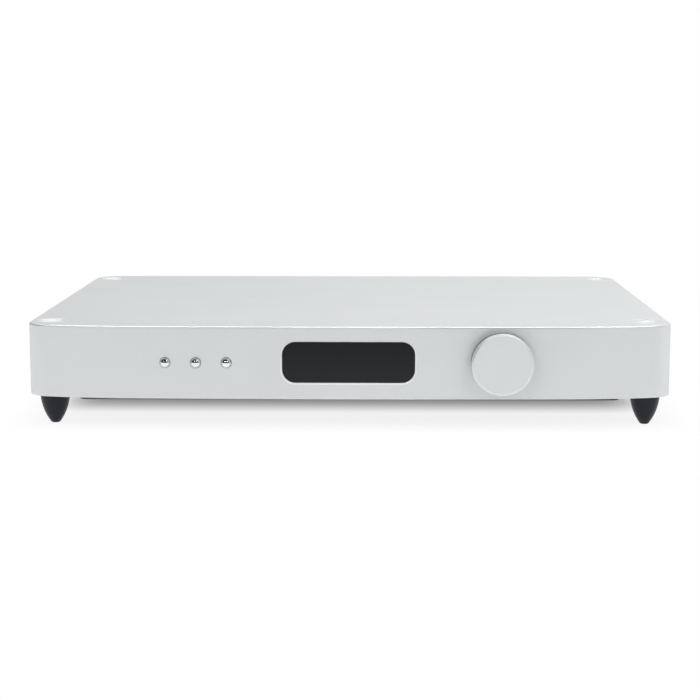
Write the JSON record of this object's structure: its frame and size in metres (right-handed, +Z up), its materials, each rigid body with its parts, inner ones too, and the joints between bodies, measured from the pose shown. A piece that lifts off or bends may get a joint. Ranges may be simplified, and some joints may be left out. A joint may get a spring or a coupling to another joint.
{
  "type": "digital-to-analogue converter",
  "caption": "Slim full-width metal hi-fi box with a bowed front, round push buttons, dark display window, large turning knob, bullet feet and a recessed connector panel.",
  "frame": {"origin": "on the surface the feet stand on, under the middle of the bounding box", "axes": "+X to the right seen from the front, +Y to the rear, +Z up"},
  "size_m": [0.45, 0.3614, 0.073],
  "materials": {
    "anodised": "fine bead-blasted and clear anodised",
    "panel_aluminium": "satin anodised",
    "dark_steel": "satin black powder coat",
    "foot_black": "satin black lacquer over turned metal",
    "polished_metal": "polished",
    "chrome": "bright chrome plate",
    "smoked_window": "smoked gloss acrylic",
    "black_plastic": "fine matt",
    "grey_plastic": "fine matt",
    "white_plastic": "smooth",
    "circuit_board": "solder mask",
    "zinc_steel": "zinc plated",
    "gold_plate": "gold plated",
    "tinned_contact": "tinned",
    "copper_winding": "wound copper under clear tape",
    "rubber": "matt",
    "capacitor_sleeve": "shrunk sleeve",
    "lead_sheath": "flexible sheath",
    "ribbon_sheath": "flexible sheath",
    "fuse_glass": "clear glass tube"
  },
  "bodies": {
    "chassis": {"case_shell": "anodised", "base_plate": "dark_steel", "rear_panel": "panel_aluminium", "feet": "foot_black", "foot_studs": "zinc_steel", "stacking_cups": "polished_metal", "case_screws": "zinc_steel", "small_screws": "zinc_steel", "display_lens": "smoked_window", "lens_frame": "dark_steel", "display_module": "black_plastic", "front_board": "circuit_board", "front_standoffs": "zinc_steel", "key_switches": "black_plastic", "encoder_body": "zinc_steel", "encoder_washer": "zinc_steel", "encoder_nut": "zinc_steel", "main_board": "circuit_board", "supply_board": "circuit_board", "board_standoffs": "zinc_steel", "board_connectors": "white_plastic", "converter_chips": "black_plastic", "clock_oscillators": "polished_metal", "output_relays": "white_plastic", "filter_capacitors": "capacitor_sleeve", "smoothing_capacitors": "capacitor_sleeve", "regulator_heatsink": "dark_steel", "regulators": "black_plastic", "transformer": "copper_winding", "transformer_pads": "rubber", "transformer_disc": "zinc_steel", "transformer_bolt": "zinc_steel", "front_ribbon": "ribbon_sheath", "mains_leads": "lead_sheath", "secondary_leads": "lead_sheath", "supply_harness": "lead_sheath", "inlet_body": "black_plastic", "inlet_pins": "tinned_contact", "rocker_housing": "black_plastic", "xlr_output_shells": "chrome", "xlr_output_pins": "gold_plate", "xlr_input_shell": "black_plastic", "phono_jacks": "gold_plate", "phono_insulators": "white_plastic", "optical_housing": "black_plastic", "usb_socket": "polished_metal"},
    "knob": {"knob": "anodised", "knob_shaft": "zinc_steel", "knob_set_screw": "dark_steel"},
    "button_left": {"button_left": "chrome", "plunger_left": "black_plastic"},
    "button_middle": {"button_middle": "chrome", "plunger_middle": "black_plastic"},
    "button_right": {"button_right": "chrome", "plunger_right": "black_plastic"},
    "fuse_drawer": {"fuse_drawer": "black_plastic", "fuse": "fuse_glass"},
    "rocker": {"rocker": "black_plastic"},
    "latch": {"xlr_latch": "polished_metal"},
    "shutter": {"optical_shutter": "grey_plastic"}
  },
  "joints": [
    {"name": "knob_turn", "type": "hinge", "parent": "chassis", "child": "knob", "pos_m": [0.1055, -0.17, 0.0482], "axis": [0, 1, 0], "continuous": true},
    {"name": "button_left_press", "type": "slide", "parent": "chassis", "child": "button_left", "axis": [0, 1, 0], "range_m": [0, 0.0008], "stiffness_N_per_m": 1500, "springref_m": -0.0004},
    {"name": "button_middle_press", "type": "slide", "parent": "chassis", "child": "button_middle", "axis": [0, 1, 0], "range_m": [0, 0.0008], "stiffness_N_per_m": 1500, "springref_m": -0.0004},
    {"name": "button_right_press", "type": "slide", "parent": "chassis", "child": "button_right", "axis": [0, 1, 0], "range_m": [0, 0.0008], "stiffness_N_per_m": 1500, "springref_m": -0.0004},
    {"name": "fuse_drawer_pull", "type": "slide", "parent": "chassis", "child": "fuse_drawer", "axis": [0, 1, 0], "range_m": [0, 0.02]},
    {"name": "rocker_tilt", "type": "hinge", "parent": "chassis", "child": "rocker", "pos_m": [-0.118, 0.1626, 0.046], "axis": [1, 0, 0], "range_deg": [0, 20]},
    {"name": "latch_push", "type": "slide", "parent": "chassis", "child": "latch", "axis": [0, -1, 0], "range_m": [0, 0.0012], "stiffness_N_per_m": 1500, "springref_m": -0.0004},
    {"name": "shutter_swing", "type": "hinge", "parent": "chassis", "child": "shutter", "pos_m": [-0.033, 0.1656, 0.0495], "axis": [-1, 0, 0], "range_deg": [0, 85], "stiffness_Nm_per_rad": 0.0005, "springref_deg": -17.19}
  ]
}
